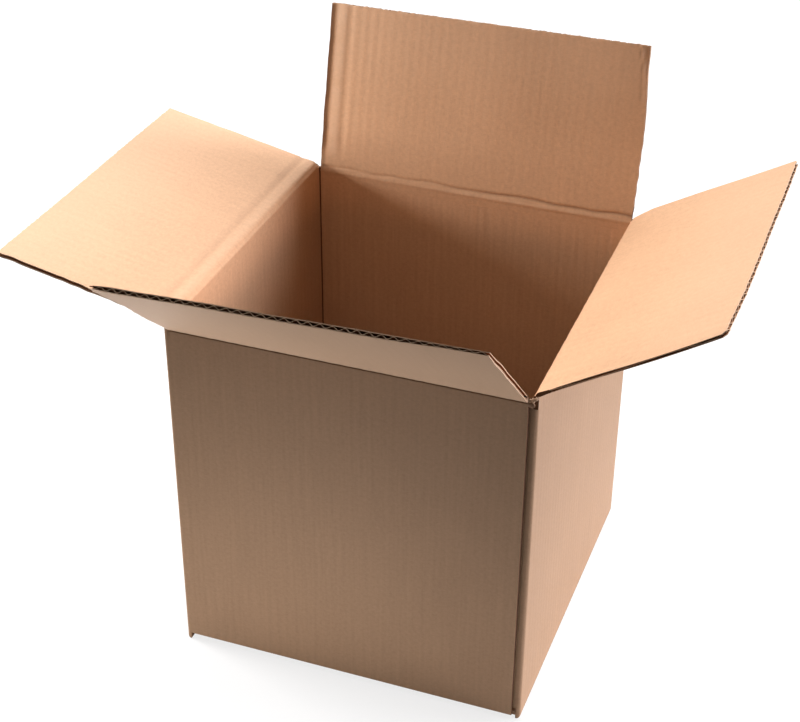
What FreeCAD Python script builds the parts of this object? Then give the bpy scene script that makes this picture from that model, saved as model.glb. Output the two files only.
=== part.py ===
import FreeCAD, Part
import os
from math import sqrt
from FreeCAD import Vector

# An open corrugated cardboard box, folded from one blank: four walls, a glue tab that closes
# the ring, four bottom flaps glued shut and four top flaps that stand open.
# Millimetres, +Z up. The origin is the centre of the underside. The front wall faces -Y.

# Sizes of the set-up box
box_width = 229.0            # outside, along X
box_depth = 237.0            # outside, along Y
side_crease_height = 242.0   # underside to the crease line of the left and right walls

# The corrugated board
board = 3.0                  # thickness of single-wall board
flute_pitch = 6.5            # distance from one flute to the next
liner = 0.34                 # thickness of each flat facing sheet
medium = 0.26                # thickness of the fluted sheet between them
fold_radius = 2.4            # outside radius where the board is folded

# Joints of the folded blank
glue_thickness = 0.3         # adhesive film, and the gap that it fills
joint_gap = 5.0              # the front wall's cut edge stops this far short of the corner
tab_width = 34.0             # glue tab behind the front wall, measured from the corner
tab_taper = 9.0              # drop of the tab's slanted ends
tab_end_clearance = 1.6      # tab's ends to the flaps above and below it
seam_gap = 1.0               # between two outer flaps where they meet
seam_offset = 1.5            # the bottom's seam lies this far to the left of the middle

# Creases of the flaps
axis_depth = 1.0             # fold line, measured inward from the wall's outer face
crease_gap = 0.3             # between the crushed edges of wall and flap, at the fold line
outer_crush = 5.6            # height over which the outer face is crushed at a crease
inner_crush_slope = 1.15     # height of the inner crushed face for each mm of its depth
slot_clearance = 0.8         # inner flaps to the inner faces of the side walls
outer_flap_inset = 6.0       # outer flaps' side edges to the front and back faces
flap_stack_clearance = 0.3   # between closed inner and outer flaps

# How far each top flap leans outward from upright, in degrees
front_tilt = 48.5
back_tilt = 14.0
left_tilt = 78.0
right_tilt = 60.5

# Damage at the flaps' free corners: along the free edge, and back from it
right_flap_clip = (14.0, 3.0)
front_flap_clip = (4.0, 3.0)

# Glue on the bottom flaps
bead_width = 12.0
bead_length = 74.0
bead_edge = 16.0             # bead's outer end to the side wall's outer face
bead_row = 42.0              # bead's middle to the front or back face

half_width = box_width / 2
half_depth = box_depth / 2
front_crease_height = side_crease_height - board - flap_stack_clearance
flap_reach = min(half_width, half_depth) - axis_depth - seam_gap / 2
inner_depth = board - axis_depth
inner_crush = inner_crush_slope * inner_depth
inner_floor = board + glue_thickness
joint_line = half_width - joint_gap
tab_face = -half_depth + board + glue_thickness


def prism(points, direction):
    """A straight prism on a flat polygon."""
    return Part.Face(Part.makePolygon(points + points[:1])).extrude(direction)


def block(x, y, z):
    """A box given by its low and high value on each axis."""
    return Part.makeBox(x[1] - x[0], y[1] - y[0], z[1] - z[0], Vector(x[0], y[0], z[0]))


def corner_arc(start, corner, end):
    """The quarter circle that replaces a square corner."""
    middle = corner + (start + end - corner * 2) * (1 - sqrt(0.5))
    return Part.Arc(start, middle, end).toShape()


def trough(half_span, floor, crease, half_length, turn):
    """Two facing walls and the floor that joins them, with rounded folds and crushed tops."""
    outer_top = crease - outer_crush
    apex = crease - crease_gap / 2
    inner_top = crease - inner_crush
    radius = fold_radius

    def at(across, up):
        return Vector(across, -half_length, up)

    low_left = at(-half_span + radius, floor)
    low_right = at(half_span - radius, floor)
    side_left = at(-half_span, floor + radius)
    side_right = at(half_span, floor + radius)
    path = [
        at(half_span, outer_top),
        at(half_span - axis_depth, apex),
        at(half_span - board, inner_top),
        at(half_span - board, floor + board),
        at(-half_span + board, floor + board),
        at(-half_span + board, inner_top),
        at(-half_span + axis_depth, apex),
        at(-half_span, outer_top),
        side_left,
    ]
    edges = [Part.LineSegment(a, b).toShape() for a, b in zip(path, path[1:])]
    edges.append(corner_arc(side_left, at(-half_span, floor), low_left))
    edges.append(Part.LineSegment(low_left, low_right).toShape())
    edges.append(corner_arc(low_right, at(half_span, floor), side_right))
    edges.append(Part.LineSegment(side_right, path[0]).toShape())
    solid = Part.Face(Part.Wire(edges)).extrude(Vector(0, 2 * half_length, 0))
    solid.rotate(Vector(0, 0, 0), Vector(0, 0, 1), turn)
    return solid


def plan_outline():
    """The walls' outer outline from above: round folds, and the glued joint's recess."""
    radius = fold_radius
    front_left = Vector(-half_width, -half_depth, 0)
    back_left = Vector(-half_width, half_depth, 0)
    back_right = Vector(half_width, half_depth, 0)
    tab_fold = Vector(half_width, tab_face, 0)
    x = Vector(radius, 0, 0)
    y = Vector(0, radius, 0)
    recess = [front_left + x, Vector(joint_line, -half_depth, 0), Vector(joint_line, tab_face, 0),
              tab_fold - x]
    edges = [Part.LineSegment(a, b).toShape() for a, b in zip(recess, recess[1:])]
    edges.append(corner_arc(tab_fold - x, tab_fold, tab_fold + y))
    edges.append(Part.LineSegment(tab_fold + y, back_right - y).toShape())
    edges.append(corner_arc(back_right - y, back_right, back_right - x))
    edges.append(Part.LineSegment(back_right - x, back_left + x).toShape())
    edges.append(corner_arc(back_left + x, back_left, back_left - y))
    edges.append(Part.LineSegment(back_left - y, front_left + y).toShape())
    edges.append(corner_arc(front_left + y, front_left, front_left + x))
    return Part.Face(Part.Wire(edges)).extrude(Vector(0, 0, side_crease_height))


def side_walls():
    """Left and right walls with the outer bottom flaps, which meet at the seam."""
    shell = trough(half_width, 0, side_crease_height, half_depth, 0)
    inside = half_width - board
    seam_span = (-seam_offset - seam_gap / 2, -seam_offset + seam_gap / 2)
    seam = block(seam_span, (-half_depth, half_depth), (0, board))
    flap_end = half_depth - outer_flap_inset
    ends = [block((-inside, inside), span, (0, board))
            for span in ((-half_depth, -flap_end), (flap_end, half_depth))]
    corners = [block((-half_width, half_width), span, (front_crease_height, side_crease_height))
               for span in ((-half_depth, -half_depth + board), (half_depth - board, half_depth))]
    return shell.cut([seam] + ends + corners)


def end_walls():
    """Front and back walls with the inner bottom flaps, which leave a gap between them."""
    shell = trough(half_depth, inner_floor, front_crease_height, half_width, 90)
    floor = (inner_floor, inner_floor + board)
    flap_end = half_depth - axis_depth - flap_reach
    gap = block((-half_width, half_width), (-flap_end, flap_end), floor)
    side = half_width - board - slot_clearance
    inside = half_depth - board
    ends = [block(span, (-inside, inside), floor)
            for span in ((-half_width, -side), (side, half_width))]
    return shell.cut([gap] + ends)


def glue_tab():
    """The tab of the right wall, folded behind the front wall, with slanted ends."""
    low = inner_floor + board + tab_end_clearance
    high = front_crease_height - inner_depth - tab_end_clearance
    root = half_width - board / 2
    tip = half_width - tab_width
    outline = [Vector(root, tab_face, low), Vector(root, tab_face, high),
               Vector(tip, tab_face, high - tab_taper), Vector(tip, tab_face, low + tab_taper)]
    return prism(outline, Vector(0, board, 0))


def box_body():
    walls = side_walls().fuse(end_walls()).common(plan_outline())
    return walls.fuse(glue_tab()).removeSplitter()


def joint_glue():
    """Adhesive film between the glue tab and the front wall."""
    low = inner_floor + board + tab_end_clearance + tab_taper
    high = front_crease_height - inner_depth - tab_end_clearance - tab_taper
    return block((half_width - tab_width + board, joint_line - board),
                 (tab_face - glue_thickness, tab_face), (low, high))


def bottom_glue():
    """Four beads of adhesive that hold the outer bottom flaps to the inner ones."""
    beads = []
    for x_side in (-1, 1):
        x_out = x_side * (half_width - bead_edge)
        x_in = x_out - x_side * bead_length
        for y_side in (-1, 1):
            y_mid = y_side * (half_depth - bead_row)
            beads.append(block((min(x_out, x_in), max(x_out, x_in)),
                               (y_mid - bead_width / 2, y_mid + bead_width / 2),
                               (board, inner_floor)))
    return Part.makeCompound(beads)


def flute_channels(low, high, bottom, top):
    """The open triangles between the fluted sheet and the facing sheets, as prisms."""
    inner_face = inner_depth - liner
    outer_face = -axis_depth + liner
    slope = (inner_face - outer_face) / (flute_pitch / 2)
    offset = medium / 2 * sqrt(1 + slope ** 2)
    half_base = flute_pitch / 2 - offset / slope
    middle = (low + high) / 2
    count = int((high - low) / flute_pitch) + 2
    channels = []
    for step in range(-count, count + 1):
        centre = middle + step * flute_pitch / 2
        if centre + half_base < low or centre - half_base > high:
            continue
        base, tip = (inner_face, outer_face + offset)
        if step % 2:
            base, tip = (outer_face, inner_face - offset)
        triangle = [Vector(centre - half_base, base, bottom),
                    Vector(centre + half_base, base, bottom), Vector(centre, tip, bottom)]
        channels.append(prism(triangle, Vector(0, 0, top - bottom)))
    return channels


def upright_flap(low, high):
    """A flap standing straight up on the fold line, which is the X axis; outside faces -Y."""
    section = [(-axis_depth, outer_crush), (0, crease_gap / 2), (inner_depth, inner_crush),
               (inner_depth, flap_reach), (-axis_depth, flap_reach)]
    sheet = prism([Vector(low, y, z) for y, z in section], Vector(high - low, 0, 0))
    return sheet.cut(flute_channels(low, high, outer_crush, flap_reach))


def clip_corner(flap, corner, along, size):
    """Take the broken tip off a free corner; along is +1 or -1, towards the flap's middle."""
    length, back = size
    triangle = [Vector(corner - along, -board, flap_reach + 1),
                Vector(corner + along * length, -board, flap_reach + 1),
                Vector(corner + along * length, -board, flap_reach),
                Vector(corner, -board, flap_reach - back),
                Vector(corner - along, -board, flap_reach - back)]
    return flap.cut(prism(triangle, Vector(0, 3 * board, 0)))


def place_flap(flap, turn, distance, crease, tilt):
    """Lean an upright flap outward, turn it to its wall and lift it to its crease."""
    flap.rotate(Vector(0, 0, 0), Vector(1, 0, 0), tilt)
    flap.translate(Vector(0, -distance + axis_depth, crease))
    flap.rotate(Vector(0, 0, 0), Vector(0, 0, 1), turn)
    return flap


def front_flap():
    low = -half_width + board + slot_clearance
    flap = clip_corner(upright_flap(low, joint_line), low, 1, front_flap_clip)
    return place_flap(flap, 0, half_depth, front_crease_height, front_tilt)


def back_flap():
    side = half_width - board - slot_clearance
    return place_flap(upright_flap(-side, side), 180, half_depth, front_crease_height, back_tilt)


def left_flap():
    side = half_depth - outer_flap_inset
    return place_flap(upright_flap(-side, side), 270, half_width, side_crease_height, left_tilt)


def right_flap():
    side = half_depth - outer_flap_inset
    flap = clip_corner(upright_flap(-side, side), -side, 1, right_flap_clip)
    return place_flap(flap, 90, half_width, side_crease_height, right_tilt)


nodes = {
    "box_body": box_body,
    "front_flap": front_flap,
    "back_flap": back_flap,
    "left_flap": left_flap,
    "right_flap": right_flap,
    "joint_glue": joint_glue,
    "bottom_glue": bottom_glue,
}

os.makedirs("parts", exist_ok=True)
for name, make in nodes.items():
    shape = make()
    shape.exportStep("parts/" + name + ".step")
    box = shape.BoundBox
    print(name, len(shape.Solids), "solids, valid", shape.isValid(), "volume", round(shape.Volume),
          "x", round(box.XMin, 2), round(box.XMax, 2), "y", round(box.YMin, 2), round(box.YMax, 2),
          "z", round(box.ZMin, 2), round(box.ZMax, 2))
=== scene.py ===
import math

import bpy
import numpy as np
from mathutils import Matrix, Vector


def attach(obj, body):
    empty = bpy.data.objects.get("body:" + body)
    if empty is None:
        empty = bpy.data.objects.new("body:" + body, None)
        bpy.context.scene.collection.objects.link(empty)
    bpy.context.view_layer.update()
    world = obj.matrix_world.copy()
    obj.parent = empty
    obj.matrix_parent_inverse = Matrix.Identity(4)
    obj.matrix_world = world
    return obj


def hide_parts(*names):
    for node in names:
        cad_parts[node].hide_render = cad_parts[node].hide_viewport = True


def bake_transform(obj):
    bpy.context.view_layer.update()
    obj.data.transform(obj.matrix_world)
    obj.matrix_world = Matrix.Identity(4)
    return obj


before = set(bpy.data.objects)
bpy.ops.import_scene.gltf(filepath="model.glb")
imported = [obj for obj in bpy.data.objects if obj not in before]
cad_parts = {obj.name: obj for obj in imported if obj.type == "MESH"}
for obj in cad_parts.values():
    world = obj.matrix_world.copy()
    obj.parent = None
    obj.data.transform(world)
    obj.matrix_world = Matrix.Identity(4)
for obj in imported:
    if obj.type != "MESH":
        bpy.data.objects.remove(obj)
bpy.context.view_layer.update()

# ---------------------------------------------------------------- sizes, in mm
# the box, as in the part's source
HALF_WIDTH = 114.5
HALF_DEPTH = 118.5
SIDE_CREASE = 242.0     # height of the left and right flaps' fold lines
END_CREASE = 238.7      # height of the front and back flaps' fold lines
REACH = 113.0           # of each flap, from its fold line to its free edge
BOARD = 3.0
PITCH = 6.5             # of the flutes
AXIS_DEPTH = 1.0        # the fold lines lie this far inside the outer faces
JOINT_LINE = 109.5      # right end of the front wall; beyond it the glue tab shows
END_FLAP_GAP = 0.8      # between the front and back flaps and the side walls
SIDE_FLAP_INSET = 6.0   # from the ends of the side walls to the side flaps' edges
MM = 0.001

# the sheets at the flaps' cut edges, drawn thicker than in the source to show clearly
LINER = 0.50
MEDIUM = 0.36

# the bent board across each fold line
CREASE_BELOW = 9.0      # how far a crease piece reaches down its wall
CREASE_ABOVE = 8.0      # and up its flap, where the flap's own piece begins
BEND = 1.6              # half length of the bend at a fold line
BENT = 3.2              # half length of the part with close rows
PROUD = 0.1             # crease pieces stand this far off the wall's inner face
TUCK = 0.04             # and their lower ends go this far into it
PROUD_OUTSIDE = 0.5     # the share of both on the wall's outer face
NOTCH = 0.7             # depth of the line pressed into the outer face

# The four top flaps: side edges along the crease, distance of the wall from the middle,
# height of the crease, lean from upright and turn about the vertical, as in the source.
INSIDE = HALF_WIDTH - BOARD - END_FLAP_GAP
SIDE_FLAP_END = HALF_DEPTH - SIDE_FLAP_INSET
FLAPS = {
    "front_flap": dict(low=-INSIDE, high=JOINT_LINE, distance=HALF_DEPTH,
                       crease=END_CREASE, tilt=48.5, turn=0),
    "back_flap": dict(low=-INSIDE, high=INSIDE, distance=HALF_DEPTH,
                      crease=END_CREASE, tilt=14.0, turn=180),
    "left_flap": dict(low=-SIDE_FLAP_END, high=SIDE_FLAP_END, distance=HALF_WIDTH,
                      crease=SIDE_CREASE, tilt=78.0, turn=270),
    "right_flap": dict(low=-SIDE_FLAP_END, high=SIDE_FLAP_END, distance=HALF_WIDTH,
                       crease=SIDE_CREASE, tilt=60.5, turn=90),
}


# ---------------------------------------------------------------- small maths
RIPPLE_PEAK = 1.6       # a ripple's usual peak, as a multiple of its root mean square


def smooth(x, low=0.0, high=1.0):
    """Soft step from 0 at low to 1 at high."""
    t = np.clip((np.asarray(x, float) - low) / (high - low), 0, 1)
    return t * t * (3 - 2 * t)


def bell(x, middle, width):
    """Soft bump of height 1."""
    return np.exp(-((np.asarray(x, float) - middle) / width) ** 2)


def ripple(x, seed, shortest, longest, terms=7):
    """Smooth irregular wave of about unit size, the same on every run."""
    rng = np.random.default_rng(seed)
    lengths = np.exp(rng.uniform(math.log(shortest), math.log(longest), terms))
    phases = rng.uniform(0, 2 * math.pi, terms)
    sizes = rng.uniform(0.5, 1.0, terms)
    x = np.asarray(x, float)
    total = sum(size * np.sin(2 * math.pi * x / length + phase)
                for size, length, phase in zip(sizes, lengths, phases))
    return total / math.sqrt((sizes ** 2).sum() / 2) / RIPPLE_PEAK


def ripple2(x, y, seed, shortest, longest, terms=9):
    """The same over a surface, with waves that run in all directions."""
    rng = np.random.default_rng(seed)
    total, power = 0.0, 0.0
    for _ in range(terms):
        length = math.exp(rng.uniform(math.log(shortest), math.log(longest)))
        way = rng.uniform(0, math.pi)
        size = rng.uniform(0.5, 1.0)
        phase = rng.uniform(0, 2 * math.pi)
        run = x * math.cos(way) + y * math.sin(way)
        total = total + size * np.sin(2 * math.pi * run / length + phase)
        power += size * size
    return total / math.sqrt(power / 2) / RIPPLE_PEAK


# ---------------------------------------------------------------- mesh building
class Builder:
    """Collects grids of points into one mesh, with its board coordinates and its wear and painted
    light and shade.
    """

    def __init__(self):
        self.points, self.board, self.shade_and_wear = [], [], []
        self.faces, self.slots = [], []
        self.count = 0

    def grid(self, points, board, shade_and_wear):
        shape = points.shape[:2]
        self.points.append(points.reshape(-1, 3))
        self.board.append(np.broadcast_to(board, points.shape).reshape(-1, 3))
        self.shade_and_wear.append(np.broadcast_to(shade_and_wear, shape).reshape(-1))
        index = np.arange(shape[0] * shape[1]).reshape(shape) + self.count
        self.count += shape[0] * shape[1]
        return index

    def add_faces(self, quads, slot):
        self.faces.append(quads)
        self.slots.append(np.full(len(quads), slot))

    def skin(self, index, slot, flip=False):
        quads = np.stack([index[:-1, :-1], index[1:, :-1], index[1:, 1:], index[:-1, 1:]], -1)
        quads = quads.reshape(-1, 4)
        self.add_faces(quads[:, ::-1] if flip else quads, slot)

    def strip(self, one, other, slot):
        self.add_faces(np.stack([one[:-1], one[1:], other[1:], other[:-1]], -1), slot)

    def slab(self, outer, inner, outer_slot, inner_slot, rim_slot):
        """A closed sheet between two grids; outer is on the side of the first normal."""
        self.skin(outer, outer_slot)
        self.skin(inner, inner_slot, flip=True)
        self.strip(inner[:, 0], outer[:, 0], rim_slot)
        self.strip(outer[:, -1], inner[:, -1], rim_slot)
        self.strip(outer[0], inner[0], rim_slot)
        self.strip(inner[-1], outer[-1], rim_slot)

    def build(self, name, materials, sharp=32):
        """Make the object; edges bent by more than sharp degrees stay sharp."""
        mesh = bpy.data.meshes.new(name)
        points = np.concatenate(self.points) * MM
        faces = np.concatenate(self.faces)
        mesh.from_pydata(points.tolist(), [], faces.tolist())
        for material in materials:
            mesh.materials.append(material)
        mesh.polygons.foreach_set("material_index", np.concatenate(self.slots).astype(np.int32))
        mesh.polygons.foreach_set("use_smooth", np.ones(len(faces), bool))
        board = mesh.attributes.new("board", "FLOAT_VECTOR", "POINT")
        board.data.foreach_set("vector", np.concatenate(self.board).astype(np.float32).ravel())
        shade_and_wear = mesh.attributes.new("shade_and_wear", "FLOAT", "POINT")
        shade_and_wear.data.foreach_set("value", np.concatenate(self.shade_and_wear).astype(np.float32))
        mesh.set_sharp_from_angle(angle=math.radians(sharp))
        mesh.update()
        mesh.validate()
        piece = bpy.data.objects.new(name, mesh)
        bpy.context.scene.collection.objects.link(piece)
        return piece


# ---------------------------------------------------------------- materials
class Tree:
    """Short names for the shader nodes of a material or the world."""

    def __init__(self, owner):
        owner.use_nodes = True
        self.owner = owner
        self.nodes = owner.node_tree.nodes
        self.links = owner.node_tree.links
        self.shader = self.nodes.get("Principled BSDF")

    def put(self, socket, value):
        if isinstance(value, bpy.types.NodeSocket):
            self.links.new(value, socket)
        else:
            socket.default_value = value

    def fill(self, sockets, values):
        for socket, value in zip(sockets, values):
            self.put(socket, value)

    def math(self, operation, *values):
        node = self.nodes.new("ShaderNodeMath")
        node.operation = operation
        self.fill(node.inputs, values)
        return node.outputs[0]

    def product(self, first, *others):
        for other in others:
            first = self.math("MULTIPLY", first, other)
        return first

    def stretch(self, vector, *factors):
        node = self.nodes.new("ShaderNodeVectorMath")
        node.operation = "MULTIPLY"
        self.fill(node.inputs, (vector, factors))
        return node.outputs[0]

    def noise(self, vector, scale, detail=2.0, roughness=0.5):
        node = self.nodes.new("ShaderNodeTexNoise")
        self.put(node.inputs["Vector"], vector)
        node.inputs["Scale"].default_value = scale
        node.inputs["Detail"].default_value = detail
        node.inputs["Roughness"].default_value = roughness
        return node.outputs[0]

    def mix(self, factor, one, other, blend="MIX"):
        node = self.nodes.new("ShaderNodeMix")
        node.data_type = "RGBA"
        node.blend_type = blend
        # sockets 6 and 7 and output 2 are the node's colours
        self.fill((node.inputs[0], node.inputs[6], node.inputs[7]), (factor, one, other))
        return node.outputs[2]

    def combine(self, x, y, z):
        node = self.nodes.new("ShaderNodeCombineXYZ")
        self.fill(node.inputs, (x, y, z))
        return node.outputs[0]

    def split(self, vector):
        node = self.nodes.new("ShaderNodeSeparateXYZ")
        self.links.new(vector, node.inputs[0])
        return node.outputs

    def place(self):
        return self.nodes.new("ShaderNodeTexCoord").outputs["Object"]

    def attribute(self, name, output):
        node = self.nodes.new("ShaderNodeAttribute")
        node.attribute_name = name
        return node.outputs[output]

    def map_range(self, value, low, high, to_low=0.0, to_high=1.0):
        node = self.nodes.new("ShaderNodeMapRange")
        node.interpolation_type = "SMOOTHSTEP"
        self.fill(node.inputs, (value, low, high, to_low, to_high))
        return node.outputs[0]

    def bump(self, height, distance, strength=1.0):
        node = self.nodes.new("ShaderNodeBump")
        node.inputs["Distance"].default_value = distance
        node.inputs["Strength"].default_value = strength
        self.put(node.inputs["Height"], height)
        self.put(self.shader.inputs["Normal"], node.outputs[0])

    def seen(self):
        """1 for what the camera sees straight or through something clear."""
        rays = self.nodes.new("ShaderNodeLightPath").outputs
        return self.math("MAXIMUM", rays["Is Camera Ray"], rays["Is Transmission Ray"])


OUTER_PAPER = (0.375, 0.229, 0.138, 1)
INNER_PAPER = (0.620, 0.366, 0.216, 1)
INNER_SHADED_PAPER = (0.480, 0.300, 0.185, 1)   # the inner paper painted darker down in the box: painted shade
CORE_PAPER = (0.36, 0.165, 0.080, 1)    # the fluted sheet and the liners' hidden faces
CUT_PAPER = (0.58, 0.39, 0.26, 1)
# pale: wear at some places, and painted light and painted highlights at others
WORN_AND_LIT_PAPER = (0.80, 0.55, 0.38, 1)
# near-black: painted shade, in corners, along folds, on cut edges and over gaps
PAINTED_SHADE = (0.11, 0.052, 0.026, 1)
GLUE_DULL = (0.58, 0.50, 0.36, 1)
GLUE_PALE = (0.74, 0.68, 0.55, 1)

FACING = 0.7            # a normal's share along an axis, for a face that looks that way
DEEP, NOT_DEEP = 200.0, 234.0           # heights between which the painted shade inside the box fades out going up
CORNER_LINE = 0.7       # width of the painted shade line in the walls' inside corners, mm
WALL_PATCH = 300.0      # the side walls' pattern is taken this far from the end walls'


def wall_paper(t, paper, inner_paper):
    """Pattern coordinates and colour for box_body, from the place in the carton."""
    x, y, z = t.split(t.stretch(t.place(), 1 / MM, 1 / MM, 1 / MM))
    normal = t.nodes.new("ShaderNodeNewGeometry").outputs["True Normal"]
    normal_x, normal_y, _ = t.split(normal)
    off_x, off_y = t.math("ABSOLUTE", x), t.math("ABSOLUTE", y)
    side_wall = t.math("GREATER_THAN", t.math("ABSOLUTE", normal_x), FACING)
    across = t.math("ADD", t.product(y, side_wall),
                    t.product(x, t.math("SUBTRACT", 1.0, side_wall)))
    board = t.combine(across, z, t.product(side_wall, WALL_PATCH))

    inside = t.product(t.math("LESS_THAN", off_x, HALF_WIDTH - BOARD / 2),
                       t.math("LESS_THAN", off_y, HALF_DEPTH - BOARD / 2),
                       t.math("GREATER_THAN", z, BOARD / 2))
    tab_face = t.product(t.math("LESS_THAN", y, -HALF_DEPTH + BOARD + 1.0),
                         t.math("LESS_THAN", normal_y, -0.5))
    inside = t.math("SUBTRACT", inside, t.product(inside, tab_face))
    # painted shade: the inner paper darkens down in the box
    deep = t.map_range(z, DEEP, NOT_DEEP, 1.0, 0.0)
    colour = t.mix(inside, paper, t.mix(deep, inner_paper, INNER_SHADED_PAPER))

    # painted shade: a dark line in the walls' inside corners
    corner = t.product(t.math("GREATER_THAN", off_x, HALF_WIDTH - BOARD - CORNER_LINE),
                       t.math("GREATER_THAN", off_y, HALF_DEPTH - BOARD - CORNER_LINE), inside)
    colour = t.mix(corner, colour, PAINTED_SHADE)
    # painted shade: the front wall's cut edge beside the glue tab is near-black
    lap_edge_shade = t.product(t.math("GREATER_THAN", normal_x, FACING),
                         t.math("COMPARE", x, JOINT_LINE, 1.0),
                         t.math("LESS_THAN", y, -HALF_DEPTH + BOARD + 0.5))
    return board, across, t.mix(lap_edge_shade, colour, PAINTED_SHADE)


def kraft(name, paper, washboard=1.0, inner_paper=None, gloss=0.12):
    """Kraft paper on corrugated board; washboard is how much the flutes show through.
    With inner_paper the coordinates come from the place in the carton, else from the mesh."""
    t = Tree(bpy.data.materials.new(name))
    if inner_paper is None:
        board = t.attribute("board", "Vector")
        across, colour = t.split(board)[0], paper
    else:
        board, across, colour = wall_paper(t, paper, inner_paper)

    # the paper's pattern: noises in mm of board, each with its share in the colour
    wave = t.math("SINE", t.product(across, 2 * math.pi / PITCH))
    wave = t.product(wave, t.map_range(t.noise(board, 0.035), 0.3, 0.7, 0.35, 1.0))
    mottle = t.noise(board, 0.42, 4.0, 0.62)
    fibre = t.noise(t.stretch(board, 0.28, 1.5, 1.0), 1.3, 3.0, 0.6)
    streak = t.noise(t.stretch(board, 1.0, 0.03, 1.0), 0.55)
    blotch = t.noise(board, 0.018, 3.0, 0.55)
    total = t.math("MULTIPLY_ADD", wave, 0.018 * washboard, 1.0)
    for pattern, share in ((mottle, 0.30), (fibre, 0.26), (streak, 0.17 * washboard),
                           (blotch, 0.12)):
        total = t.math("MULTIPLY_ADD", t.math("SUBTRACT", pattern, 0.5), share, total)
    speck = t.noise(t.stretch(board, 0.7, 1.3, 1.0), 1.9, 1.0)
    total = t.math("SUBTRACT", total, t.map_range(speck, 0.70, 0.80, 0.0, 0.13))
    colour = t.mix(1.0, colour, t.combine(total, total, total), "MULTIPLY")
    # the mesh's attribute of wear and painted light and shade: pale where positive, which is wear
    # in some places and painted light in others, and painted shade where negative
    if inner_paper is None:
        shade_and_wear = t.attribute("shade_and_wear", "Fac")
        colour = t.mix(shade_and_wear, colour, WORN_AND_LIT_PAPER)
        colour = t.mix(t.product(shade_and_wear, -1.0), colour, PAINTED_SHADE)
    t.put(t.shader.inputs["Base Color"], colour)
    t.shader.inputs["Roughness"].default_value = 0.6
    t.shader.inputs["Specular IOR Level"].default_value = gloss

    # relief, in mm
    height = t.product(wave, 0.045 * washboard)
    height = t.math("MULTIPLY_ADD", fibre, 0.05, height)
    height = t.math("MULTIPLY_ADD", mottle, 0.06, height)
    t.bump(height, MM, 0.8)
    return t.owner


def glue():
    t = Tree(bpy.data.materials.new("dried_glue"))
    cloudy = t.noise(t.place(), 180.0, 3.0)
    t.put(t.shader.inputs["Base Color"], t.mix(cloudy, GLUE_DULL, GLUE_PALE))
    t.shader.inputs["Roughness"].default_value = 0.45
    t.bump(cloudy, 0.2 * MM)
    return t.owner


FLAP_SLOTS = [kraft("kraft_outer", OUTER_PAPER),
              kraft("kraft_inner", INNER_PAPER, washboard=0.45),
              kraft("kraft_core", CORE_PAPER, washboard=0.3, gloss=0.0),
              kraft("kraft_cut", CUT_PAPER, washboard=0.3, gloss=0.0),
              # near-black, for the crease pieces' cut ends: painted shade
              kraft("kraft_shaded_rim", PAINTED_SHADE, washboard=0.3, gloss=0.0)]
OUTER, INNER, CORE, CUT, SHADED_RIM = range(5)
wall_kraft = kraft("kraft_walls", OUTER_PAPER, inner_paper=INNER_PAPER)
dried_glue = glue()


# ---------------------------------------------------------------- the flaps
# A flap's place is given by u along its crease and v from the fold line, both in mm.
# Its entries in FLAPS may hold functions of (u, v): warp moves the sheet inward, thickness is a
# share of the board's, edge moves the free edge outward, and the inner and outer wear and painted
# light and shade mix in the pale colour where they are positive and the painted shade where
# negative.
def nothing(u, v):
    return 0 * u


def full_thickness(u, v):
    return 1 + 0 * u


def straight_sides(v, flap):
    return flap["low"] + 0 * v, flap["high"] + 0 * v


def to_world(u, inward, up, flap):
    """From a wall's own frame, its fold line at (0, 0), to the carton's."""
    x = np.asarray(u, float)
    y = inward - flap["distance"] + AXIS_DEPTH
    z = up + flap["crease"]
    turn = math.radians(flap["turn"])
    c, s = round(math.cos(turn)), round(math.sin(turn))
    x, y, z = np.broadcast_arrays(x, y, z)
    return np.stack([c * x - s * y, s * x + c * y, z], -1)


def flap_points(flap, u, v, w):
    """Points of a leaning flap, w from its outer face."""
    thin = flap.get("thickness", full_thickness)(u, v)
    m = BOARD / 2 + (w - BOARD / 2) * thin - AXIS_DEPTH + flap.get("warp", nothing)(u, v)
    tilt = math.radians(flap["tilt"])
    inward = m * math.cos(tilt) - v * math.sin(tilt)
    up = m * math.sin(tilt) + v * math.cos(tilt)
    return to_world(u, inward, up, flap)


def flap_grid(flap, columns, rows):
    """Places on a flap's sheet, between its side edges and out to its free edge."""
    s = np.linspace(0, 1, columns)
    q = np.linspace(0, 1, rows)
    s, q = np.meshgrid(s, q, indexing="ij")
    v = CREASE_ABOVE + (REACH - CREASE_ABOVE) * q
    low, high = flap.get("sides", straight_sides)(v, flap)
    u = low + (high - low) * s
    v = v + flap.get("edge", nothing)(u, v) * smooth(q, 0.9, 1.0)
    return u, v


def board_place(u, v, flap):
    """Coordinates for the paper's pattern; each wall has a patch of its own."""
    return np.stack([u, v + flap["crease"], flap["turn"] * 3.0 + 0 * u], -1)


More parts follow.
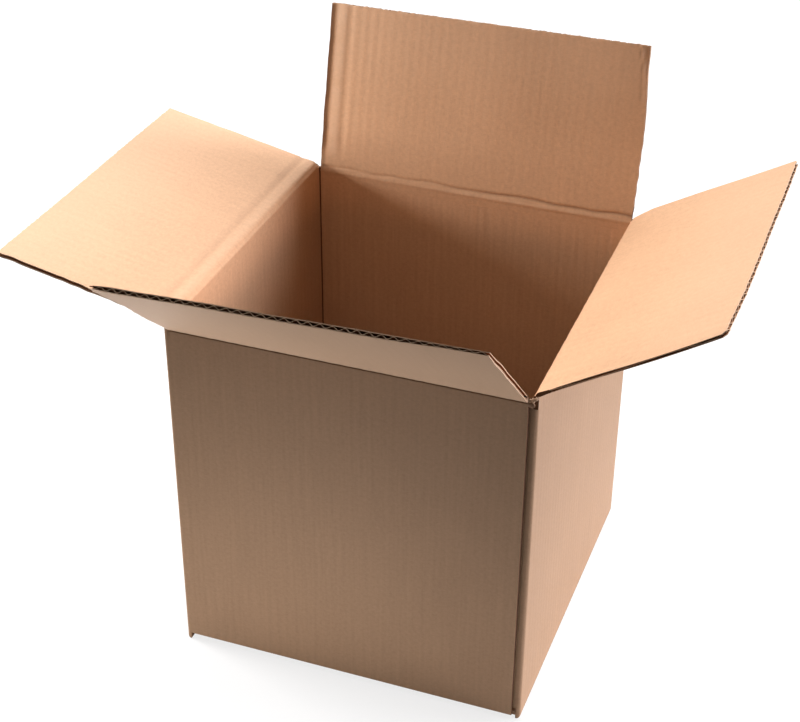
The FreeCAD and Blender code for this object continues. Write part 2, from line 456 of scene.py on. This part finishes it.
def make_flap(name, columns=112, rows=44, flute_rows=16, flute_steps=10):
    """A flap's corrugated board: two facing sheets and the fluted sheet between them."""
    flap = FLAPS[name]
    b = Builder()
    u, v = flap_grid(flap, columns, rows)
    place = board_place(u, v, flap)
    shade_and_wear_in = flap.get("inner_wear", nothing)(u, v)
    shade_and_wear_out = flap.get("outer_wear", nothing)(u, v)
    levels = ((0.0, shade_and_wear_out), (LINER, 0.0), (BOARD - LINER, 0.0), (BOARD, shade_and_wear_in))
    grids = [b.grid(flap_points(flap, u, v, w), place, shade_and_wear) for w, shade_and_wear in levels]
    b.slab(grids[0], grids[1], OUTER, CORE, CUT)
    b.slab(grids[2], grids[3], CORE, INNER, CUT)

    flutes = round((flap["high"] - flap["low"]) / PITCH)
    u, v = flap_grid(flap, flutes * flute_steps + 1, flute_rows)
    place = board_place(u, v, flap)
    swing = (BOARD - 2 * LINER - MEDIUM) / 2
    phase = 2 * math.pi * u / PITCH + 0.25 * ripple(u, 5, 20, 90)
    middle = BOARD / 2 + swing * np.sin(phase)
    slope = swing * 2 * math.pi / PITCH * np.cos(phase)
    half = MEDIUM / 2 / np.sqrt(1 + slope ** 2)
    under = flap_points(flap, u + half * slope, v, middle - half)
    over = flap_points(flap, u - half * slope, v, middle + half)
    b.slab(b.grid(under, place, 0.0), b.grid(over, place, 0.0), CORE, CORE, CUT)

    piece = b.build(name + "_board", FLAP_SLOTS)
    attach(piece, name)
    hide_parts(name)


# A crease's inner face, as a distance from the bend's centre line; q runs along the board
# from the fold line, up the flap, and u along the crease.
def rolled_fold(q, u):
    """On a flap that leans far out: it rolls over without a groove."""
    wall = 2 - 0.8 * np.clip(1 + q / 1.8, 0, 1) ** 1.5
    sheet = 1.2 + 0.8 * smooth(q, -1.4, 2.2)
    return np.where(q < 0, wall, sheet)


def back_groove(u):
    """How far above the fold line the back flap's pressed groove lies."""
    return 1.6 + 0.5 * ripple(u, 51, 20, 90)


def beaded_fold(q, u):
    """On a flap that stands nearly upright: a groove over a bead."""
    depth = 0.45 + 0.55 * smooth(u, 60, -40)
    groove = 0.75 * bell(q, back_groove(u), 1.1)
    bead = 0.55 * bell(q, -1.8, 1.5) * (1 + 0.15 * ripple(u, 52, 6, 40))
    return 2 + depth * (bead - groove)


def bend_line(q, tilt):
    """Centre line and normals of the bend: the square corner averaged over a short length."""
    share = np.clip((q + BEND) / (2 * BEND), 0, 1)
    bent = (q + BEND) ** 2 / (4 * BEND)
    along_wall = np.where(q <= -BEND, q, np.where(q >= BEND, 0, q - bent))
    along_flap = np.where(q <= -BEND, 0, np.where(q >= BEND, q, bent))
    centre_in = -along_flap * math.sin(tilt)
    centre_up = along_wall + along_flap * math.cos(tilt)
    way_in = -share * math.sin(tilt)
    way_up = (1 - share) + share * math.cos(tilt)
    length = np.sqrt(way_in ** 2 + way_up ** 2)
    return centre_in, centre_up, way_up / length, -way_in / length


def make_crease(name, columns=112):
    """The bent and crushed board across a fold line, from the wall to the flap."""
    flap = FLAPS[name]
    b = Builder()
    tilt = math.radians(flap["tilt"])
    q = np.concatenate([np.linspace(-CREASE_BELOW, -BENT, 8)[:-1], np.linspace(-BENT, BENT, 27),
                        np.linspace(BENT, CREASE_ABOVE, 7)[1:]])
    centre_in, centre_up, normal_in, normal_up = bend_line(q, tilt)
    proud = PROUD * smooth(q, 0.5, -2.0) * smooth(q, -CREASE_BELOW, -CREASE_BELOW + 2) \
        - TUCK * smooth(q, -CREASE_BELOW + 1.0, -CREASE_BELOW)

    s, qq = np.meshgrid(np.linspace(0, 1, columns), q, indexing="ij")
    low, high = flap.get("sides", straight_sides)(np.maximum(qq, 0), flap)
    u = low + (high - low) * s
    place = board_place(u, qq, flap)
    rough = 0.10 * ripple(u, flap["turn"] + 3, 4, 30) * bell(qq, 0, 2.2)
    warp = flap.get("warp", nothing)(u, np.maximum(qq, 0))
    rough = rough + warp * smooth(qq, 2, CREASE_ABOVE)
    outer = -(AXIS_DEPTH - NOTCH * bell(qq, 0, 0.55)) - PROUD_OUTSIDE * proud
    inner = flap.get("fold", rolled_fold)(qq, u) + proud
    thin = flap.get("thickness", full_thickness)(u, qq)
    thin = 1 + (thin - 1) * smooth(qq, -1, CREASE_ABOVE)
    middle = BOARD / 2 - AXIS_DEPTH
    grids = []
    for level, shade_and_wear in ((outer, "outer_wear"), (inner, "inner_wear")):
        side = middle + (level - middle) * thin + rough
        points = to_world(u, centre_in + side * normal_in, centre_up + side * normal_up, flap)
        grids.append(b.grid(points, place, flap.get(shade_and_wear, nothing)(u, qq)))
    # the crease piece's cut ends are near-black: painted shade
    b.slab(grids[0], grids[1], OUTER, INNER, SHADED_RIM)

    piece = b.build(name + "_crease", FLAP_SLOTS, sharp=50)
    blend_reach = 3.0
    start = to_world(0.0, 0.0, -blend_reach, flap) * MM
    end = to_world(0.0, -blend_reach * math.sin(tilt), blend_reach * math.cos(tilt), flap) * MM
    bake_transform(piece)


def ragged_edge(u, v):
    return 0.22 * ripple(u, 31, 3, 25)


TWIST = math.radians(1.4)       # the front flap's, from its middle to either end
RAISED = math.radians(0.35)     # and how much more upright its middle stands


def front_warp(u, v):
    """The sheet is twisted: its left end leans out more. Its waves only go inward."""
    lean = TWIST * u / 110 + RAISED
    wave = 0.20 * (1 + ripple2(u, v, 11, 60, 160))
    return v * lean * smooth(v, 4, 30) + wave * smooth(v, 10, 50)


def front_thickness(u, v):
    """The free corner at the right and the left tip are crushed thin."""
    crushed = 0.35 * smooth(u, 45, 100) * smooth(v, 85, 112)
    tip = 0.45 * bell(u, -112, 9) * smooth(v, 96, 112)
    return 1 - crushed - tip + 0.05 * ripple(u, 21, 9, 50) * smooth(v, 80, 112)


def front_sides(v, flap):
    """The left edge is hollow and torn at its tip."""
    torn = 1.1 * ripple(v, 81, 2.5, 9) * smooth(v, 96, 106)
    hollow = 3.0 * bell(v, 72, 26)
    rounded = 4 * smooth(v, REACH - 3, REACH)
    low = flap["low"] + rounded + 0.35 * ripple(v, 8, 6, 30) + torn + hollow
    high = flap["high"] + 0.15 * ripple(v, 9, 9, 40)
    return low, high


def front_outer_light_and_shade(u, v):
    """Painted light: the sheet is paler than the wall, more so at the left. Painted shade: a dark
    line along the fold.
    """
    pale = 0.52 + 0.26 * smooth(u, 20, -100)
    return pale * smooth(v, 1, 3) - 0.75 * bell(v, 0, 0.8)


def from_back_edges(u):
    """Distances from the back flap's side edges, named as photographed: from the left one
    they run below zero inward, from the right one above."""
    return u - FLAPS["back_flap"]["high"], u - FLAPS["back_flap"]["low"]


def bent_corner(v):
    """How far in from the side edge the bend line of the back flap's corner lies."""
    return 2.6 + 6.0 * np.clip((v - 78) / 35, 0, 1) ** 2


def back_warp(u, v):
    """A bent-over left edge, a crushed band beside it and a bent right upper corner."""
    left, right = from_back_edges(u)
    bent_edge = 1.1 * smooth(left, -2.8, 0.0)
    crushed_band = -0.30 * bell(left, -13.5, 1.6) + 0.25 * bell(left, -8.5, 2.6)
    ridges = 0.045 * np.sin(2 * math.pi * u / PITCH) * bell(left, -24, 16)
    reach_in = bent_corner(v)
    corner = -0.7 * smooth(reach_in - right, 0, 4.0) * smooth(v, 70, 96)
    crease = 0.30 * bell(right, reach_in, 1.0) * smooth(v, 76, 92)
    sweep = 0.3 * (1 + ripple2(u, v, 17, 70, 180)) * smooth(v, 12, 50)
    return (bent_edge + crushed_band + ridges) * smooth(v, 6, 20) + corner + crease + sweep


def back_sides(v, flap):
    """The photographed right edge runs inward towards the top."""
    low = flap["low"] + 3.3 * smooth(v, 55, REACH) + 0.15 * ripple(v, 12, 8, 30)
    high = flap["high"] + 0.12 * ripple(v, 13, 8, 40)
    return low, high


def back_shade_and_wear(u, v):
    """Painted highlights and painted shade: pale bands and dark lines along the bends of back_warp
    and the fold, and a dark left edge by the fold; paler towards the top as painted light; the
    free edge pale in patches.
    """
    left, right = from_back_edges(u)
    band = 0.34 * smooth(left, -12.5, -9.5) * smooth(left, -3.0, -4.0)
    band = band * (0.8 + 0.2 * ripple(v, 41, 8, 40))
    reach_in = bent_corner(v)
    crease = 0.70 * bell(right, reach_in, 0.9) - 0.50 * bell(right, reach_in + 2.0, 1.0)
    crease = crease * smooth(v, 74, 84)
    # dark edge and fold line: painted shade
    dark_edge = -0.40 * smooth(left, -3.2, -2.0) * smooth(v, 0, 6)
    fold_line = -0.42 * bell(v, back_groove(u), 0.9) * smooth(u, 90, -60)
    fold_line = fold_line + 0.22 * bell(v, -1.8, 1.4) * smooth(u, 100, -20)
    rim = 0.35 * smooth(v, REACH - 2, REACH) * smooth(ripple(u, 44, 8, 50), 0.0, 0.8)
    # paler towards the top: painted light
    upper = 0.12 * smooth(v, 50, REACH)
    return np.clip(band * smooth(v, 4, 14) + crease + rim + dark_edge + fold_line + upper, -1, 1)


def left_warp(u, v):
    """A soft groove follows the fold. The sheet's waves only go outward."""
    groove = -0.60 * bell(v, 9.5, 1.4) + 0.15 * bell(v, 13.5, 2.4)
    return groove - 0.3 * (1 + ripple2(u, v, 23, 80, 200)) * smooth(v, 14, 60)


def left_sides(v, flap):
    low = flap["low"] + 0.15 * ripple(v, 14, 9, 40)
    high = flap["high"] + 3 + 0.3 * ripple(v, 15, 9, 40)
    return low, high


def right_warp(u, v):
    groove = -0.12 * bell(v, 10, 1.8)
    return groove - 0.3 * (1 + ripple2(u, v, 29, 80, 200)) * smooth(v, 14, 60)


def right_sides(v, flap):
    """The free corner at the front is broken off, and the back edge is rounded at its root."""
    taper = 9.5 * np.maximum(v, 0) / REACH
    broken = 2.5 * np.clip((v - REACH + 2) / 2, 0, 1)
    low = flap["low"] - 3.0 + taper + broken
    high = flap["high"] + 1.5 - 7.5 * (1 - smooth(v, -5, 15))
    return low, high


def right_edge(u, v):
    return ragged_edge(u, v) - 2.2 * smooth(u, -55, FLAPS["right_flap"]["low"])


def right_thickness(u, v):
    """The front edge is pressed thin."""
    from_edge = u - FLAPS["right_flap"]["low"]
    return 1 - 0.30 * smooth(from_edge, 14, 3)


def outer_part_light(u, v):
    """Painted light: the side flaps are a little paler towards their free edges."""
    return 0.20 * smooth(v, 25, REACH)


def left_light_and_shade(u, v):
    """Painted shade: a soft dark line follows the fold, a little out on the flap, with a painted
    highlight between it and the fold, added to the side flaps' painted light towards their free
    edges.
    """
    line = -0.13 * bell(v, 9.6, 1.0) - 0.05 * bell(v, 12.0, 2.2) + 0.10 * bell(v, 5.0, 2.4)
    return outer_part_light(u, v) + line * (1 + 0.2 * ripple(u, 61, 8, 60))


FLAPS["front_flap"].update(warp=front_warp, sides=front_sides, thickness=front_thickness,
                           edge=ragged_edge, outer_wear=front_outer_light_and_shade)
FLAPS["back_flap"].update(warp=back_warp, sides=back_sides, inner_wear=back_shade_and_wear,
                          fold=beaded_fold, edge=ragged_edge)
FLAPS["left_flap"].update(warp=left_warp, sides=left_sides, edge=ragged_edge,
                          inner_wear=left_light_and_shade)
FLAPS["right_flap"].update(warp=right_warp, sides=right_sides, edge=right_edge,
                           thickness=right_thickness, inner_wear=outer_part_light)

for flap_name in FLAPS:
    make_flap(flap_name)
    make_crease(flap_name)

# Crushed bits where the front and right creases meet the glue tab, and last a dark lump of painted
# shade
# that closes a gap there: inward from the right face, inward from the front face, up from the
# front crease, half sizes in x, y and z, and wear, below zero painted shade.
CRUSHED_BITS_AND_SHADE = ((4.5, 1.1, 0.5, 1.2, 1.1, 1.1, 0.10),
                (2.5, 1.0, 1.2, 1.2, 1.3, 1.7, 0.10),
                (0.8, 1.6, 2.2, 0.9, 1.2, 1.2, 0.10),
                # a dark lump: painted shade that also closes a gap
                (3.3, 0.6, -1.7, 2.3, 1.1, 1.8, -0.50))
POLE = 0.1              # the lumps' ends stay open by this angle, too small to see


def make_crushed_corner_and_shade():
    b = Builder()
    angle, height = np.meshgrid(np.linspace(0, 2 * math.pi, 17),
                                np.linspace(POLE, math.pi - POLE, 9), indexing="ij")
    ring = np.sin(height)
    for from_side, from_front, up, wide, deep, tall, shade_and_wear in CRUSHED_BITS_AND_SHADE:
        x, y, z = HALF_WIDTH - from_side, from_front - HALF_DEPTH, END_CREASE + up
        lump = 1 + 0.12 * np.sin(3 * angle + x) * ring
        points = np.stack([x + wide * ring * np.cos(angle) * lump,
                           y + deep * ring * np.sin(angle) * lump,
                           z + tall * np.cos(height) * lump], -1)
        b.skin(b.grid(points, points, shade_and_wear + 0 * angle), OUTER)
    piece = b.build("crushed_corner_and_shade", FLAP_SLOTS)
    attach(piece, "carton")


make_crushed_corner_and_shade()

for node_name, material in (("box_body", wall_kraft), ("joint_glue", dried_glue),
                            ("bottom_glue", dried_glue)):
    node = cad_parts[node_name]
    node.data.materials.clear()
    node.data.materials.append(material)


# ---------------------------------------------------------------- floor and world, in m
WHITE = (1, 1, 1, 1)
FLOOR_SIZE = 30
FLOOR_DROP = 0.0003             # the floor lies this far under the box
SHEET_START, SHEET_END = 0.26, 0.55     # the floor returns less and less light between these
SKY = 0.035                     # strength of the world's light


def floor_paper():
    """White paper: all white to the camera, and a smaller sheet of it for the light it returns."""
    t = Tree(bpy.data.materials.new("floor_white"))
    t.shader.inputs["Roughness"].default_value = 0.9
    t.shader.inputs["Specular IOR Level"].default_value = 0.1
    x, y, _ = t.split(t.place())
    away = t.math("SQRT", t.math("ADD", t.product(x, x), t.product(y, y)))
    bounce = t.map_range(away, SHEET_START, SHEET_END, 0.84, 0.08)
    seen = t.seen()
    grey = t.combine(bounce, bounce, bounce)
    t.put(t.shader.inputs["Base Color"], t.mix(seen, grey, (0.22, 0.22, 0.22, 1)))
    t.shader.inputs["Emission Color"].default_value = WHITE
    t.put(t.shader.inputs["Emission Strength"], t.product(seen, 0.78))
    t.owner.cycles.emission_sampling = "NONE"
    return t.owner


bpy.ops.mesh.primitive_plane_add(size=FLOOR_SIZE, location=(0, 0, -FLOOR_DROP))
floor = bpy.context.object
floor.name = "floor"
floor.data.materials.append(floor_paper())


def make_world():
    """White to the camera, and a faint even light for the box."""
    world = bpy.data.worlds.new("studio")
    bpy.context.scene.world = world
    t = Tree(world)
    choice = t.nodes.new("ShaderNodeMixShader")
    shaders = [t.nodes["Background"], t.nodes.new("ShaderNodeBackground")]
    for shader, strength in zip(shaders, (SKY, 1.0)):
        shader.inputs["Color"].default_value = WHITE
        shader.inputs["Strength"].default_value = strength
    t.fill(choice.inputs, [t.seen()] + [shader.outputs[0] for shader in shaders])
    t.links.new(choice.outputs[0], t.nodes["World Output"].inputs["Surface"])


make_world()

# ---------------------------------------------------------------- lamps, in m and degrees
# azimuth (0 is the front, 90 the right), elevation, spread, strength, colour
SUNS = {
    "back_right_light": (165, 38, 40, 0.93, (1, 1, 1)),
    "back_light": (200, 38, 40, 0.40, (1, 1, 1)),
    "top_light": (350, 76, 30, 0.11, (1, 1, 1)),
    "left_light": (262, 38, 40, 0.42, (1, 1, 1)),
    "right_fill": (116, 13, 32, 1.36, (0.99, 1.0, 1.10)),
}
# place, what it shines at, size, watts
SOFT_LAMPS = {
    "left_window": ((-0.52, -0.03, 0.34), (0.05, 0.12, 0.34), 0.16, 3.7),
    "floor_glow": ((-0.06, -0.25, 0.01), (-0.06, -0.17, 0.10), 0.24, 0.34),
}


def direction(azimuth, elevation):
    """Unit vector from the middle of the scene, both angles in radians."""
    return Vector((math.sin(azimuth) * math.cos(elevation),
                   -math.cos(azimuth) * math.cos(elevation), math.sin(elevation)))


def add_lamp(name, kind, energy, source):
    """A lamp whose light comes from the direction of source."""
    data = bpy.data.lights.new(name, kind)
    data.energy = energy
    lamp = bpy.data.objects.new(name, data)
    bpy.context.scene.collection.objects.link(lamp)
    lamp.rotation_euler = source.to_track_quat("Z", "Y").to_euler()
    return lamp


for lamp_name, (azimuth, elevation, spread, strength, tint) in SUNS.items():
    source = direction(math.radians(azimuth), math.radians(elevation))
    lamp = add_lamp(lamp_name, "SUN", strength * math.pi, source)
    lamp.data.angle = math.radians(spread)
    lamp.data.color = tint

for lamp_name, (place, aim, size, watts) in SOFT_LAMPS.items():
    lamp = add_lamp(lamp_name, "AREA", watts, Vector(place) - Vector(aim))
    lamp.data.shape = "SQUARE"
    lamp.data.size = size
    lamp.location = place
    lamp.visible_camera = False

# ---------------------------------------------------------------- camera
# Fitted to the photograph's measured edges: place in m, angles in degrees, and in pixels the
# focal length, the picture's size and the point of the picture that the camera looks at.
CAMERA_PLACE = (0.3082, -0.8737, 0.7505)
AZIMUTH, ELEVATION, ROLL = 19.94, 32.99, 0.446
FOCAL_PIXELS = 1692.7
PICTURE_WIDTH, PICTURE_HEIGHT = 800, 722
MIDDLE_X, MIDDLE_Y = 400.0, 391.0
SENSOR = 36.0


def place_camera():
    back = direction(math.radians(AZIMUTH), math.radians(ELEVATION))
    level_right = (-back).cross(Vector((0, 0, 1))).normalized()
    level_up = level_right.cross(-back)
    roll = math.radians(ROLL)
    right = level_right * math.cos(roll) + level_up * math.sin(roll)
    up = -level_right * math.sin(roll) + level_up * math.cos(roll)
    data = bpy.data.cameras.new("camera")
    data.sensor_fit = "HORIZONTAL"
    data.sensor_width = SENSOR
    data.lens = FOCAL_PIXELS * SENSOR / PICTURE_WIDTH
    data.shift_x = (PICTURE_WIDTH / 2 - MIDDLE_X) / PICTURE_WIDTH
    data.shift_y = (MIDDLE_Y - PICTURE_HEIGHT / 2) / PICTURE_WIDTH
    camera = bpy.data.objects.new("camera", data)
    bpy.context.scene.collection.objects.link(camera)
    turn = Matrix((right, up, back)).transposed()
    camera.matrix_world = Matrix.Translation(Vector(CAMERA_PLACE)) @ turn.to_4x4()
    bpy.context.scene.camera = camera


place_camera()
bpy.context.scene.view_settings.view_transform = "Standard"
